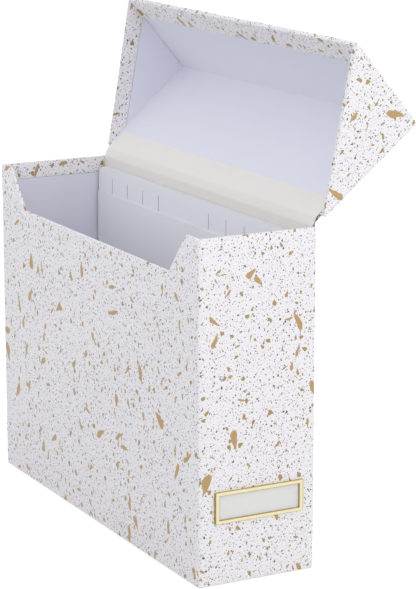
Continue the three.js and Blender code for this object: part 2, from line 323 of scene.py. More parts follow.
def drops(paint, place, cell, longest, share, slimness, wobble, seed):
    """Ink drops, one at most in each cell: 1 inside a drop and 0 outside."""
    shifted = paint.vector("ADD", place, (seed, seed * 0.7, 0))
    noise = paint.add("TexNoise", {"Vector": shifted, "Scale": 0.9 / longest, "Detail": 3.0},
                      out="Color")
    offset = paint.vector("SUBTRACT", noise, (0.5, 0.5, 0.5))
    bent = paint.vector("MULTIPLY_ADD", offset, (wobble, wobble, 0), shifted)
    cells = {"Vector": bent, "Scale": 1 / cell, "Randomness": CELL_DISORDER}
    point = paint.add("TexVoronoi", cells, out="Position", voronoi_dimensions="2D")
    chance = paint.add("TexWhiteNoise", {"Vector": point}, out="Value", noise_dimensions="2D")
    colour = paint.add("TexWhiteNoise", {"Vector": point}, out="Color", noise_dimensions="2D")
    random = paint.axes(colour)
    angle = paint.math("MULTIPLY", random["Y"], 2 * math.pi)
    aside = paint.math("MULTIPLY", paint.math("COSINE", angle), SIDEWAYS_SHARE)
    upward = paint.math("SINE", angle)
    forward = paint.vector("NORMALIZE", paint.add("CombineXYZ", (aside, upward, 0.0)))
    sideways = paint.vector("CROSS_PRODUCT", forward, (0, 0, 1))
    away = paint.vector("SUBTRACT", bent, point)
    along = paint.vector("DOT_PRODUCT", away, forward, out="Value")
    across = paint.vector("DOT_PRODUCT", away, sideways, out="Value")
    rank = paint.math("POWER", paint.ramp(chance, 1 - share, 1.0), MOSTLY_SMALL)
    size = paint.ramp(rank, 0.0, 1.0, longest * SMALLEST_DROP, longest)
    size = paint.math("MULTIPLY", size, paint.math("GREATER_THAN", chance, 1 - share))
    size = paint.math("MAXIMUM", size, 1e-6)
    end = paint.math("DIVIDE", along, size)
    taper = paint.ramp(end, -1.0, 1.0, HEAD_WIDTH, TAIL_WIDTH)
    slim = paint.ramp(random["Z"], 0.0, 1.0, slimness * SLIM_DROP, slimness * FAT_DROP)
    width = paint.math("MULTIPLY", paint.math("MULTIPLY", size, slim), taper)
    side = paint.math("DIVIDE", across, width)
    rim = paint.math("ADD", paint.math("MULTIPLY", end, end), paint.math("MULTIPLY", side, side))
    return paint.ramp(rim, RIM_INSIDE, RIM_OUTSIDE, 1.0, 0.0)


print("a drop's tail is", round(TAIL_WIDTH / HEAD_WIDTH, 2), "as wide as its head")

# %% [markdown]
# Five layers of drops lie over each other: long drops with tails, blots, spots, dots and a fine
# mist. The ink holds metal powder, so it is partly metallic and a little smoother than paper.
# The pattern lies on the flat sheet, in the UV map that the pieces get below, as it would if the
# paper were printed first and then folded. A pattern in space would smear over the folds.

# %% Speckled covering paper
PAPER = rgb(250, 247, 247)
INK = rgb(184, 155, 108)
INK_BLOT = rgb(172, 144, 100)
INK_SMALL = rgb(112, 99, 78)
INK_MIST = rgb(160, 153, 142)
INK_METALLIC = 0.4
SHEET_MAP = "sheet_map"
# Each layer: cell and longest drop, share of cells that hold one, slimness, bend and seed
LONG_DROPS = (20 * MM, 8.2 * MM, 0.66, 0.36, 5.5 * MM, 0.31)
BLOTS = (8.5 * MM, 2.6 * MM, 0.66, 0.58, 2.3 * MM, 1.71)
SPOTS = (4.2 * MM, 1.15 * MM, 0.85, 0.55, 1.2 * MM, 2.93)
DOTS = (2.1 * MM, 0.62 * MM, 0.9, 0.7, 0.5 * MM, 4.37)
MIST = (1.25 * MM, 0.3 * MM, 0.85, 0.8, 0.2 * MM, 5.19)


def speckled_paper(name, sheet_map=None):
    """Printed paper whose pattern lies in a UV map, or flat on the piece where none is given."""
    paint = Paint(name, 0.6, Specular_IOR_Level=0.35)
    place = paint.add("UVMap", uv_map=sheet_map) if sheet_map else paint.place()
    long_drops = drops(paint, place, *LONG_DROPS)
    blots = drops(paint, place, *BLOTS)
    spots = drops(paint, place, *SPOTS)
    dots = drops(paint, place, *DOTS)
    mist = drops(paint, place, *MIST)
    small = paint.math("MAXIMUM", spots, dots)
    printed = paint.math("MAXIMUM", paint.math("MAXIMUM", long_drops, blots), small)
    cloudy = paint.add("TexNoise", {"Vector": place, "Scale": 14.0, "Detail": 2.0})
    fibre = paint.add("TexNoise", {"Vector": place, "Scale": 900.0, "Detail": 3.0})
    colour = paint.mix(cloudy, PAPER, dimmed(PAPER, 0.975))
    for mask, ink in ((mist, INK_MIST), (small, INK_SMALL), (blots, INK_BLOT), (long_drops, INK)):
        colour = paint.mix(mask, colour, ink)
    paint.colour(colour)
    paint.roughness(paint.ramp(printed, 0.0, 1.0, 0.62, 0.48))
    metallic = paint.math("MULTIPLY", printed, INK_METALLIC)
    paint.tree.links.new(metallic, paint.shader.inputs["Metallic"])
    paint.bump(fibre, 0.02 * MM, 0.6)
    return paint.material


cover_paper = speckled_paper("speckled_paper", SHEET_MAP)
base_paper = speckled_paper("speckled_base")
print("speckled paper nodes:", len(cover_paper.node_tree.nodes))

# %% [markdown]
# The plain sheets differ in little things: the lining is a soft uncoated paper, the folders are
# a smoother card, the label's card is greyer, and the board that shows nowhere is raw pulp.
# One function makes them all, with fine fibres as bump and a faint cloudiness in the colour.

# %% Plain papers and boards


def plain_paper(name, colour, roughness, fibre_scale, fibre_depth, cloud=0.03):
    paint = Paint(name, roughness, Specular_IOR_Level=0.3)
    place = paint.place()
    fibre = paint.add("TexNoise", {"Vector": place, "Scale": fibre_scale, "Detail": 4.0})
    cloudy = paint.add("TexNoise", {"Vector": place, "Scale": 18.0, "Detail": 3.0})
    paint.colour(paint.mix(cloudy, colour, dimmed(colour, 1 - cloud)))
    paint.roughness(paint.ramp(fibre, 0.3, 0.7, roughness - 0.05, roughness + 0.05))
    paint.bump(fibre, fibre_depth, 0.5)
    return paint.material


lining_paper = plain_paper("lining_paper", rgb(236, 236, 245), 0.7, 700.0, 0.03 * MM)
folder_card = plain_paper("folder_card", rgb(253, 252, 255), 0.55, 1100.0, 0.015 * MM)
label_paper = plain_paper("label_paper", rgb(233, 232, 227), 0.65, 1200.0, 0.01 * MM)
pulp_board = plain_paper("pulp_board", rgb(186, 178, 166), 0.9, 420.0, 0.08 * MM, 0.12)
for paper in (lining_paper, folder_card, label_paper, pulp_board):
    print(paper.name, "with", len(paper.node_tree.nodes), "nodes")

# %% [markdown]
# Book cloth is a plain weave filled with starch. Two sets of waves at right angles make threads
# that pass over and under each other, and noise drawn out along the strip makes the uneven
# thickness of real yarn. Both show as bump and as a slight change of colour.

# %% Book cloth
THREAD_MAP = "thread_map"
THREAD_PAIR = 0.55 * MM


def book_cloth(name, colour):
    paint = Paint(name, 0.85, Specular_IOR_Level=0.2, Sheen_Weight=0.15)
    place = paint.add("UVMap", uv_map=THREAD_MAP)
    axes = paint.axes(place)
    turns = 2 * math.pi / THREAD_PAIR
    warp = paint.math("SINE", paint.math("MULTIPLY", axes["X"], turns))
    weft = paint.math("SINE", paint.math("MULTIPLY", axes["Y"], turns))
    weave = paint.ramp(paint.math("MULTIPLY", warp, weft), -1.0, 1.0)
    drawn = paint.vector("MULTIPLY", place, (0.07, 1.0, 1.0))
    slub = paint.add("TexNoise", {"Vector": drawn, "Scale": 900.0, "Detail": 3.0})
    threads = paint.math("MULTIPLY_ADD", slub, 0.9, paint.math("MULTIPLY", weave, 0.6))
    paint.colour(paint.mix(paint.ramp(threads, 0.4, 1.2), dimmed(colour, 0.93), colour))
    paint.bump(threads, 0.05 * MM, 0.5)
    return paint.material


linen = book_cloth("book_cloth", rgb(246, 242, 235))
print("threads in a centimetre:", round(20 * MM / THREAD_PAIR))

# %% [markdown]
# The label holder is thin brass, stamped and lacquered. It is bright, with a trace of rolling
# marks that spread its highlights a little. Along its inner and outer edge the colour is painted
# darker and browner. This painted shade stands in for the shadow and the darker reflections at
# the bars' edges, and the middle of each bar stays bright. The distance from the frame's opening
# tells where that is, so the material takes the holder's box and the width of its bars.

# %% Brass
HOLDER_SIDE = 3.2 * MM
HOLDER_RAIL = 2.8 * MM
HOLDER_BAR = 3.0 * MM


def stamped_brass(name, colour, edge_shade_colour, low, high):
    paint = Paint(name, 0.34, Metallic=0.75)
    place = paint.place()
    opening = (high - low) / 2 - Vector((0, HOLDER_SIDE, HOLDER_RAIL))
    from_centre = paint.vector("SUBTRACT", place, tuple((low + high) / 2))
    from_centre = paint.vector("ABSOLUTE", from_centre)
    outward = paint.axes(paint.vector("SUBTRACT", from_centre, tuple(opening)))
    outward = paint.math("MAXIMUM", outward["Y"], outward["Z"])
    from_middle = paint.math("ABSOLUTE", paint.math("SUBTRACT", outward, HOLDER_BAR / 2))
    # Painted shade: the colour darkens towards the bars' inner and outer edges, in place of shadow
    # and darker reflections there.
    edge = paint.ramp(from_middle, HOLDER_BAR * 0.28, HOLDER_BAR * 0.48)
    stretched = paint.vector("MULTIPLY", place, (1.0, 0.12, 1.0))
    marks = paint.add("TexNoise", {"Vector": stretched, "Scale": 2400.0, "Detail": 3.0})
    tarnish = paint.add("TexNoise", {"Vector": place, "Scale": 160.0, "Detail": 3.0})
    worn = paint.mix(tarnish, colour, dimmed(colour, 0.9))
    paint.colour(paint.mix(edge, worn, edge_shade_colour))
    paint.roughness(paint.ramp(marks, 0.3, 0.7, 0.28, 0.4))
    paint.bump(marks, 0.004 * MM, 0.25)
    return paint.material


frame_low, frame_high = (Vector(corner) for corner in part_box("label_frame"))
# The browner second colour is painted shade for the bars' edges.
brass = stamped_brass("stamped_brass", rgb(235, 225, 180), rgb(168, 138, 84),
                      frame_low, frame_high)
print("label holder:", [round(v / MM, 1) for v in frame_high - frame_low], "mm")

# %% [markdown]
# Modelling needs the same few steps over and over: choose faces or edges by where they lie, cut
# the chosen faces along a plane, round edges, and delete what lies outside the paper. Each step
# gets a short helper that works on the active piece. Choosing by place or by normal is safer
# than choosing by number, because the numbers change with every cut.

# %% Helpers that choose, cut and round
CORNER_ANGLE = 1.05
TINY = 1e-5


def choose(kind, test):
    """Select, in edit mode, only the faces, edges or points that pass a test."""
    piece = bpy.context.object
    if piece.mode != "EDIT":
        bpy.ops.object.mode_set(mode="EDIT")
    bpy.ops.mesh.select_mode(type=kind)
    bpy.ops.mesh.select_all(action="DESELECT")
    mesh = bmesh.from_edit_mesh(piece.data)
    items = {"FACE": mesh.faces, "EDGE": mesh.edges, "VERT": mesh.verts}[kind]
    for item in [item for item in items if test(item)]:
        item.select_set(True)
    bmesh.update_edit_mesh(piece.data)


def middle_of(face):
    return face.calc_center_median()


def edge_middle(edge):
    return (edge.verts[0].co + edge.verts[1].co) / 2


def cut(test, point, normal):
    """Cut the faces that pass a test along a plane, and keep both sides."""
    choose("FACE", test)
    bpy.ops.mesh.bisect(plane_co=point, plane_no=normal, threshold=1e-6)


def remove(test):
    choose("FACE", test)
    bpy.ops.mesh.delete(type="FACE")


def round_edges(test, radius, segments):
    choose("EDGE", test)
    bpy.ops.mesh.bevel(offset=radius, segments=segments, affect="EDGES")


def is_corner(edge):
    """A convex edge between two faces that meet at a clear angle."""
    return len(edge.link_faces) == 2 and edge.calc_face_angle_signed() > CORNER_ANGLE


print("edges count as corners from", round(math.degrees(CORNER_ANGLE)), "degrees")

# %% [markdown]
# New pieces start as a cube or as a plane. Both are stretched and moved in edit mode, so that the
# object itself stays at the origin, unturned and unscaled, which is what modifiers and the pose
# tool expect. A modifier is applied as soon as it is added, because the next step needs its faces.

# %% Helpers that start a piece and thicken it


def apply_modifier(kind, **settings):
    piece = bpy.context.object
    if piece.mode == "EDIT":
        bpy.ops.object.mode_set(mode="OBJECT")
    bpy.ops.object.modifier_add(type=kind)
    modifier = piece.modifiers[-1]
    for key, value in settings.items():
        setattr(modifier, key, value)
    bpy.ops.object.modifier_apply(modifier=modifier.name)


def thicken(thickness, even=True):
    """Give a sheet its thickness on the side behind its faces."""
    apply_modifier("SOLIDIFY", thickness=thickness, offset=-1, use_even_offset=even)


def new_box(name, low, high):
    """A cube stretched in edit mode, so that its object keeps its place and size."""
    nothing_selected()
    bpy.ops.mesh.primitive_cube_add(size=1)
    bpy.context.object.name = name
    bpy.ops.object.mode_set(mode="EDIT")
    bpy.ops.transform.resize(value=[b - a for a, b in zip(low, high)])
    bpy.ops.transform.translate(value=[(a + b) / 2 for a, b in zip(low, high)])
    return bpy.context.object


def new_strip(name, line, half):
    """A sheet along a bent line of (y, z) points, as wide as twice half, from a plane."""
    nothing_selected()
    bpy.ops.mesh.primitive_plane_add(size=1)
    piece = bpy.context.object
    piece.name = name
    bpy.ops.object.mode_set(mode="EDIT")
    bpy.ops.transform.resize(value=(2 * half, 1, 1))
    choose("VERT", lambda v: v.co.y > 0.4)
    bpy.ops.transform.translate(value=(0, line[1][0] - 0.5, line[1][1]))
    choose("VERT", lambda v: v.co.y < -0.4)
    bpy.ops.transform.translate(value=(0, line[0][0] + 0.5, line[0][1]))
    for before, after in zip(line[1:], line[2:]):
        at = Vector((0, before[0], before[1]))
        choose("EDGE", lambda e: (edge_middle(e) - at).length < TINY)
        step = (0, after[0] - before[0], after[1] - before[1])
        bpy.ops.mesh.extrude_edges_move(TRANSFORM_OT_translate={"value": step})
    return piece


def face_towards(direction):
    """Flip a sheet's faces where they look away from a direction, judged by the first face."""
    mesh = bmesh.from_edit_mesh(bpy.context.object.data)
    if next(iter(mesh.faces)).normal.dot(Vector(direction)) < 0:
        bpy.ops.mesh.select_all(action="SELECT")
        bpy.ops.mesh.flip_normals()


print("helpers:", new_box.__name__, new_strip.__name__, thicken.__name__)

# %% [markdown]
# The print needs to know where each point of a folded paper lay when the sheet was flat. That is
# what a UV map holds. Each sheet below brings its own rule, and this helper writes it, face by
# face. The last helper gives a piece its material and the body that carries it.

# %% Helpers that map a sheet and finish a piece
SMOOTH_BELOW = math.radians(32)


def map_sheet(piece, spot_of):
    """Write where every point lay on the flat sheet, one face at a time, as the sheet's UV map."""
    if piece.mode == "EDIT":
        bpy.ops.object.mode_set(mode="OBJECT")
    mesh = piece.data
    spots = mesh.uv_layers.new(name=SHEET_MAP)
    for face in mesh.polygons:
        for index in face.loop_indices:
            place = mesh.vertices[mesh.loops[index].vertex_index].co
            spots.data[index].uv = spot_of(face.center, face.normal, place)


def finish_piece(piece, material, body=None):
    if piece.mode == "EDIT":
        bpy.ops.object.mode_set(mode="OBJECT")
    bpy.ops.object.shade_smooth_by_angle(angle=SMOOTH_BELOW)
    piece.data.materials.append(material)
    if body:
        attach(piece, body)
    corners = [Vector(c) for c in piece.bound_box]
    low = [round(min(c[i] for c in corners), 4) for i in range(3)]
    high = [round(max(c[i] for c in corners), 4) for i in range(3)]
    print(piece.name, len(piece.data.polygons), "faces", low, high)


print("smooth where faces meet at less than", round(math.degrees(SMOOTH_BELOW)), "degrees")

# %% [markdown]
# The body's paper is one sheet: up the outside, over the rim and down again on the inside, and
# under the floor's edge. Its sizes are written once, here. The wall is board with paper on both
# sides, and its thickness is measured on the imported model.

# %% Sizes of the body's paper
PAPER_THICK = 0.3 * MM
WALL = lining_low.x - cover_low.x + PAPER_THICK
SEAM = 0.3 * MM
FRONT_DROP = 31 * MM
RIM_HALF = length / 2 - 19.5 * MM
LOW_HALF = length / 2 - 46 * MM
CORNER_RADIUS = 2.6 * MM
RIM_RADIUS = 0.55 * MM
RIM_TURN_IN = 13 * MM
CLIP_ALONG = 6 * MM
CLIP_UP = 5 * MM
BASE_TURN_IN = 15 * MM
STRIP_LAP = 15 * MM
HINGE_HALF = length / 2 - CORNER_RADIUS + SEAM


def front_corner(side):
    """Where the low front's bottom meets its slanting side, and that side's outward normal."""
    point = Vector((side * LOW_HALF, 0, height - FRONT_DROP))
    normal = Vector((side * FRONT_DROP, 0, LOW_HALF - RIM_HALF)).normalized()
    return point, normal


print("wall:", round(WALL / MM, 2), "mm")

# %% [markdown]
# The sheet starts as a box without a top. The low front is cut out with three planes, and a
# thick Solidify makes both sides of every wall at once. Then the upright corners and the rim
# are rounded with a bevel, as paper goes round the edge of a board and never quite sharply.

# %% The body's box with its low front
half_x, half_y = length / 2, depth / 2
body_paper = new_box("body_paper", (-half_x, -half_y, cover_low.z), (half_x, half_y, height))
remove(lambda f: f.normal.z > 0.9)
cut(lambda f: f.normal.y < -0.9, (0, 0, height - FRONT_DROP), (0, 0, 1))


def upper_front(face):
    return face.normal.y < -0.9 and middle_of(face).z > height - FRONT_DROP


for side in (-1, 1):
    cut(upper_front, *front_corner(side))
remove(lambda f: upper_front(f) and abs(middle_of(f).x) < LOW_HALF / 2)
thicken(WALL)


def upright_corner(edge):
    along = edge.verts[0].co - edge.verts[1].co
    at = edge_middle(edge)
    outside = abs(at.x) > half_x - TINY and abs(at.y) > half_y - TINY
    return outside and abs(along.z) > 0.99 * along.length


round_edges(upright_corner, CORNER_RADIUS, 5)
round_edges(is_corner, RIM_RADIUS, 3)
print("box:", len(bmesh.from_edit_mesh(body_paper.data).faces), "faces")

# %% [markdown]
# Inside, only a band stays, as wide as the paper is turned in. It runs along the rim and follows
# the low front, and its rear ends are clipped at a slant, as a bookbinder clips them. At the
# back the sheet goes on to the lid as a strip of its own, so it is left out here. Below the
# floor it ends in a wide frame. A second, thin Solidify turns the faces into paper.

# %% Turned-in edges of the body's paper


def inner_wall(face):
    at = middle_of(face)
    within = abs(at.x) < half_x - WALL + 0.1 * MM and abs(at.y) < half_y - WALL + 0.1 * MM
    return within and abs(face.normal.z) < 0.1


def inner_front(face):
    return inner_wall(face) and middle_of(face).y < -half_y + 2 * WALL


def beyond_turn_in(face):
    if not inner_wall(face):
        return False
    at = middle_of(face)
    if at.z > height - RIM_TURN_IN:
        return False
    if not inner_front(face) or at.z < height - FRONT_DROP - RIM_TURN_IN:
        return True
    corners = (front_corner(side) for side in (-1, 1))
    return any((at - point).dot(normal) > RIM_TURN_IN for point, normal in corners)


def back_wall(face):
    return middle_of(face).y > half_y - WALL - 0.1 * MM


def hinge_zone(face):
    at = middle_of(face)
    return back_wall(face) and abs(at.x) < HINGE_HALF and at.z > height - STRIP_LAP - SEAM


remove(lambda f: f.normal.z > 0.9 and middle_of(f).z < 10 * MM)
cut(inner_wall, (0, 0, height - RIM_TURN_IN), (0, 0, 1))
cut(inner_front, (0, 0, height - FRONT_DROP - RIM_TURN_IN), (0, 0, 1))
for side in (-1, 1):
    point, normal = front_corner(side)
    cut(inner_front, point + normal * RIM_TURN_IN, normal)
remove(beyond_turn_in)


def inner_end(face):
    return inner_wall(face) and abs(middle_of(face).x) > half_x - 2 * WALL


clip_point = Vector((0, half_y - WALL - CLIP_ALONG, height - RIM_TURN_IN))
clip_normal = Vector((0, CLIP_UP, -CLIP_ALONG)).normalized()
cut(inner_end, clip_point, clip_normal)
remove(lambda f: inner_end(f) and (middle_of(f) - clip_point).dot(clip_normal) > 0)
for side in (-1, 1):
    cut(back_wall, (side * HINGE_HALF, 0, 0), (1, 0, 0))
cut(back_wall, (0, 0, height - STRIP_LAP - SEAM), (0, 0, 1))
remove(hinge_zone)
choose("FACE", lambda f: f.normal.z < -0.99 and f.calc_area() > depth * depth)
bpy.ops.mesh.inset(thickness=BASE_TURN_IN)
bpy.ops.mesh.delete(type="FACE")
thicken(PAPER_THICK)
print("turned in by", round(RIM_TURN_IN / MM), "mm at the rim")

# %% [markdown]
# Unfolded, the body's paper is a long strip: the four walls stand side by side, and what goes
# over the rim comes after the wall's height. Each wall measures along itself and inwards from
# its outer face, so that a drop of ink runs on over the corners.

# %% The print on the body's paper


def body_sheet(centre, normal, place):
    """The flat sheet runs around the body, over its rim and down again on the inside."""
    reach = {
        "right": half_x - centre.x, "left": half_x + centre.x,
        "back": half_y - centre.y, "front": half_y + centre.y,
    }
    if abs(normal.z) < 0.7:
        ends = ("right", "left") if abs(normal.x) > abs(normal.y) else ("back", "front")
        reach = {name: reach[name] for name in ends}
    wall_name = min(reach, key=reach.get)
    along, inward = {
        "right": (place.y, half_x - place.x),
        "left": (-2 * half_x - 2 * half_y - place.y, half_x + place.x),
        "back": (half_y + half_x - place.x, half_y - place.y),
        "front": (place.x - half_x - half_y, half_y + place.y),
    }[wall_name]
    if centre.z < 1.5 * MM:
        return along, place.z - inward
    if reach[wall_name] < 0.55 * WALL:
        return along, place.z + inward
    return along, 2 * height - place.z + inward


map_sheet(body_paper, body_sheet)
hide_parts("body_cover")
finish_piece(body_paper, cover_paper, "box")

# %% [markdown]
# The lid is drawn closed, with its turning line at the origin, because its faces then lie along
# the axes. It is a little longer at the skirt than at the hinge, so that it slips over the body.
# The cheeks are cut to the slant that makes it a wedge.

# %% The lid's box with its slanting cheeks
lid_low, lid_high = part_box("lid_cover")
LID_HALF = (lid_high.x - lid_low.x) / 2
LID_DEPTH = 102.75 * MM
LID_SKIRT = 80 * MM
LID_REAR_GAP = 6.4 * MM
LID_HALF_AT_HINGE = 175.6 * MM
CHEEK_START = 4 * MM
CHEEK_TIP = 3.4 * MM
FOLD_RADIUS = 1.2 * MM
SKIRT_TURN_IN = 20 * MM
CHEEK_TURN_IN = 13 * MM
CLOTH_LAP_LID = 21.5 * MM
LINER_MARGIN = 1.6 * MM
CLOTH_HALF = length / 2 - WALL - 0.4 * MM
slant_point = Vector((0, -CHEEK_START, 0))
slant_normal = Vector((0, LID_SKIRT, CHEEK_START - LID_DEPTH)).normalized()


def lid_half_at(y):
    """Half of the lid's length at a place in front of the hinge: its cheeks splay a little."""
    return LID_HALF_AT_HINGE - (LID_HALF - LID_HALF_AT_HINGE) * y / LID_DEPTH


lid_paper = new_box("lid_paper", (-LID_HALF, -LID_DEPTH, -LID_SKIRT), (LID_HALF, -LID_REAR_GAP, 0))
choose("VERT", lambda v: v.co.y > -LID_REAR_GAP - TINY)
bpy.ops.transform.resize(value=(lid_half_at(-LID_REAR_GAP) / LID_HALF, 1, 1))
remove(lambda f: f.normal.z < -0.9 or f.normal.y > 0.9)


def cheek(face):
    return abs(face.normal.x) > 0.9


def off_cheek(face):
    at = middle_of(face)
    return cheek(face) and (at - slant_point).dot(slant_normal) > 0 and at.z < -CHEEK_TIP


cut(cheek, slant_point, slant_normal)
cut(cheek, (0, 0, -CHEEK_TIP), (0, 0, 1))
remove(off_cheek)
thicken(WALL)


def outer_fold(edge):
    at = edge_middle(edge)
    on = (abs(at.x) > lid_half_at(at.y) - TINY, at.y < -LID_DEPTH + TINY, at.z > -TINY)
    return is_corner(edge) and sum(on) >= 2


round_edges(outer_fold, FOLD_RADIUS, 4)
round_edges(is_corner, RIM_RADIUS, 3)
print("lid:", len(bmesh.from_edit_mesh(lid_paper.data).faces), "faces")

# %% [markdown]
# The lid's paper is cut back on the inside as the body's was: a wide band stays on the skirt and
# a narrower one along the cheeks' slanting edges. Near the hinge it makes room for the cloth
# inside and for the paper strip outside.

# %% Turned-in edges of the lid's paper


def lid_side(face):
    """Which inner side of the lid a face belongs to, or none."""
    at = middle_of(face)
    if abs(at.x) > lid_half_at(at.y) - 0.7 * WALL or at.z > -WALL + 0.1 * MM:
        return None
    if face.normal.z < -0.99:
        return "top" if at.z > -2 * WALL else None
    if face.normal.y > 0.99 and at.y < -LID_DEPTH + 2 * WALL:
        return "skirt"
    return "cheek" if abs(face.normal.x) > 0.99 else None


def bare_inside(face):
    at = middle_of(face)
    side = lid_side(face)
    if side == "skirt":
        return at.z > SKIRT_TURN_IN - LID_SKIRT
    if side == "cheek":
        deep = (at - slant_point).dot(slant_normal) < -CHEEK_TURN_IN
        return deep and at.z > SKIRT_TURN_IN - LID_SKIRT
    return side == "top"


def under_strip(face):
    at = middle_of(face)
    outside = at.z > -RIM_RADIUS - TINY and face.normal.z > 0.1
    return outside and abs(at.x) < HINGE_HALF and at.y > -STRIP_LAP - SEAM


def rear_inner_edge(face):
    at = middle_of(face)
    near = at.y > -LID_REAR_GAP - RIM_RADIUS and at.z < -WALL + RIM_RADIUS
    return near and abs(at.x) < CLOTH_HALF + SEAM and face.normal.z < -0.1


def inner_skirt(face):
    return lid_side(face) == "skirt"


def inner_cheek(face):
    return lid_side(face) == "cheek"


def rear_underside(face):
    return middle_of(face).y > -LID_REAR_GAP - RIM_RADIUS and face.normal.z < -0.1


def lid_top(face):
    return middle_of(face).z > -1 * MM and face.normal.z > 0.1


def flat_lid_top(face):
    return middle_of(face).z > -1e-4 and face.normal.z > 0.99


cut(inner_skirt, (0, 0, SKIRT_TURN_IN - LID_SKIRT), (0, 0, 1))
cut(inner_cheek, (0, 0, SKIRT_TURN_IN - LID_SKIRT), (0, 0, 1))
cut(inner_cheek, slant_point - slant_normal * CHEEK_TURN_IN, slant_normal)
for side in (-1, 1):
    cut(rear_underside, (side * (CLOTH_HALF + SEAM), 0, 0), (1, 0, 0))
    cut(lid_top, (side * HINGE_HALF, 0, 0), (1, 0, 0))
cut(flat_lid_top, (0, -STRIP_LAP - SEAM, 0), (0, 1, 0))
remove(bare_inside)
remove(under_strip)
remove(rear_inner_edge)
thicken(PAPER_THICK, even=False)
print("lid's paper:", len(lid_paper.data.polygons), "faces")

# %% [markdown]
# On the flat sheet the lid's top lies in the middle, with the skirt in front of it and the cheeks
# at its sides. Then the lid is moved to its hinge and turned open, and both are applied, so that
# the object stands at the origin again.

# %% The print on the lid's paper, and its place


def lid_sheet(centre, normal, place):
    """The lid's sheet is flat over the top and goes down over the skirt and the cheeks."""
    inner = 0.6 * (centre.z < -0.6 * WALL) * (abs(centre.x) < lid_half_at(centre.y) - 0.6 * WALL)
    if abs(normal.x) > 0.7:
        side = math.copysign(1, centre.x)
        return side * (LID_HALF - place.z), place.y + inner
    if abs(normal.y) > 0.7:
        return place.x, place.z - LID_DEPTH + inner
    return place.x, place.y + inner


def open_on_hinge(piece):
    """Take a piece that was drawn closed at the origin to the hinge, and turn it open."""
    piece.location = pivot
    piece.rotation_euler.x = -lid_open
    bpy.ops.object.transform_apply(location=True, rotation=True, scale=False)


map_sheet(lid_paper, lid_sheet)
open_on_hinge(lid_paper)
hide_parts("lid_cover")
finish_piece(lid_paper, cover_paper, "lid")

# %% [markdown]
# The lid's lining is one white sheet that ends where the covering paper's turned-in edges begin.
# A small round bevel along the folds keeps them from looking like knife edges. Between the front
# and the cheeks the sheet was cut, so a thin gap stays there and shows as a fine line.

# %% The lid's lining
LINING_DEEP = WALL - PAPER_THICK
LINING_FOLD = 0.6 * MM
CORNER_GAP = 0.5 * MM
lining_rear = -LID_REAR_GAP - LINER_MARGIN - SEAM
lining_front = LINING_DEEP - LID_DEPTH
lining_side = LID_HALF - LINING_DEEP
lining_corner = (lining_side, lining_rear, -LINING_DEEP)
lid_lining = new_box("lid_lining", (-lining_side, lining_front, -LID_SKIRT), lining_corner)
choose("VERT", lambda v: v.co.y > lining_rear - TINY)
bpy.ops.transform.resize(value=((lid_half_at(lining_rear) - LINING_DEEP) / lining_side, 1, 1))
remove(lambda f: f.normal.z < -0.9 or f.normal.y > 0.9)
lining_slant = slant_point - slant_normal * (CHEEK_TURN_IN + SEAM)
lining_edge = SKIRT_TURN_IN + SEAM - LID_SKIRT


def lining_top(face):
    return face.normal.z > 0.9


def beyond_lining(face):
    at = middle_of(face)
    if lining_top(face):
        return abs(at.x) < CLOTH_HALF and at.y > -CLOTH_LAP_LID - SEAM
    in_gap = at.y < lining_front + CORNER_GAP
    past_slant = (at - lining_slant).dot(slant_normal) > 0
    return at.z < lining_edge or cheek(face) and (in_gap or past_slant)


cut(lambda f: not lining_top(f), (0, 0, lining_edge), (0, 0, 1))
cut(cheek, lining_slant, slant_normal)
cut(cheek, (0, lining_front + CORNER_GAP, 0), (0, 1, 0))
for side in (-1, 1):
    cut(lining_top, (side * (CLOTH_HALF + SEAM), 0, 0), (1, 0, 0))
cut(lining_top, (0, -CLOTH_LAP_LID - SEAM, 0), (0, 1, 0))
remove(beyond_lining)
round_edges(is_corner, LINING_FOLD, 3)
thicken(PAPER_THICK)
open_on_hinge(lid_lining)
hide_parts("lid_liner")
finish_piece(lid_lining, lining_paper, "lid")

# %% [markdown]
# A strip of book cloth crosses the joint on the inside. It is drawn as a bent line, widened to a
# sheet, creased with a soft bevel, and given its thickness. Its threads follow the bent line, so
# that they don't stretch in the crease.

# %% The cloth on the inside
CLOTH_LAP_BODY = 25 * MM
CLOTH_START = 3 * MM
CLOTH_THICK = 0.3 * MM
CREASE_RADIUS = 1.1 * MM


def on_lid(from_pivot, below):
    """A place on the open lid, from its distance to the pivot and its depth below the top."""
    along = Vector((0, -from_pivot, -below))
    turned = Matrix.Rotation(-lid_open, 3, "X") @ along
    return pivot.y + turned.y, pivot.z + turned.z


cloth_line = [
    (half_y - WALL, height - CLOTH_LAP_BODY - 0.9 * SEAM),
    (half_y - WALL, height + 0.2 * MM),
    on_lid(CLOTH_START, WALL),
    on_lid(CLOTH_LAP_LID + 0.9 * SEAM, WALL),
]
cloth_marks = [0.0]
for before, after in zip(cloth_line, cloth_line[1:]):
    cloth_marks.append(cloth_marks[-1] + math.dist(before, after))


def along_cloth(place):
    """How far along the cloth a place lies, measured on its bent line."""
    best = (1e9, 0.0)
    for start, end, mark in zip(cloth_line, cloth_line[1:], cloth_marks):
        run = Vector(end) - Vector(start)
        share = (Vector((place.y, place.z)) - Vector(start)).dot(run) / run.length_squared
        share = min(max(share, 0.0), 1.0)
        gap = (Vector((place.y, place.z)) - Vector(start) - run * share).length
        best = min(best, (gap, mark + share * run.length))
    return best[1]


def spans_length(edge):
    return abs(edge.verts[0].co.x - edge.verts[1].co.x) > 0.1


def runs_up(edge):
    return abs(edge.verts[0].co.x - edge.verts[1].co.x) < 1e-6 and edge.calc_length() > 4 * MM


def is_crease(edge):
    return len(edge.link_faces) == 2 and edge.calc_face_angle() > 0.1


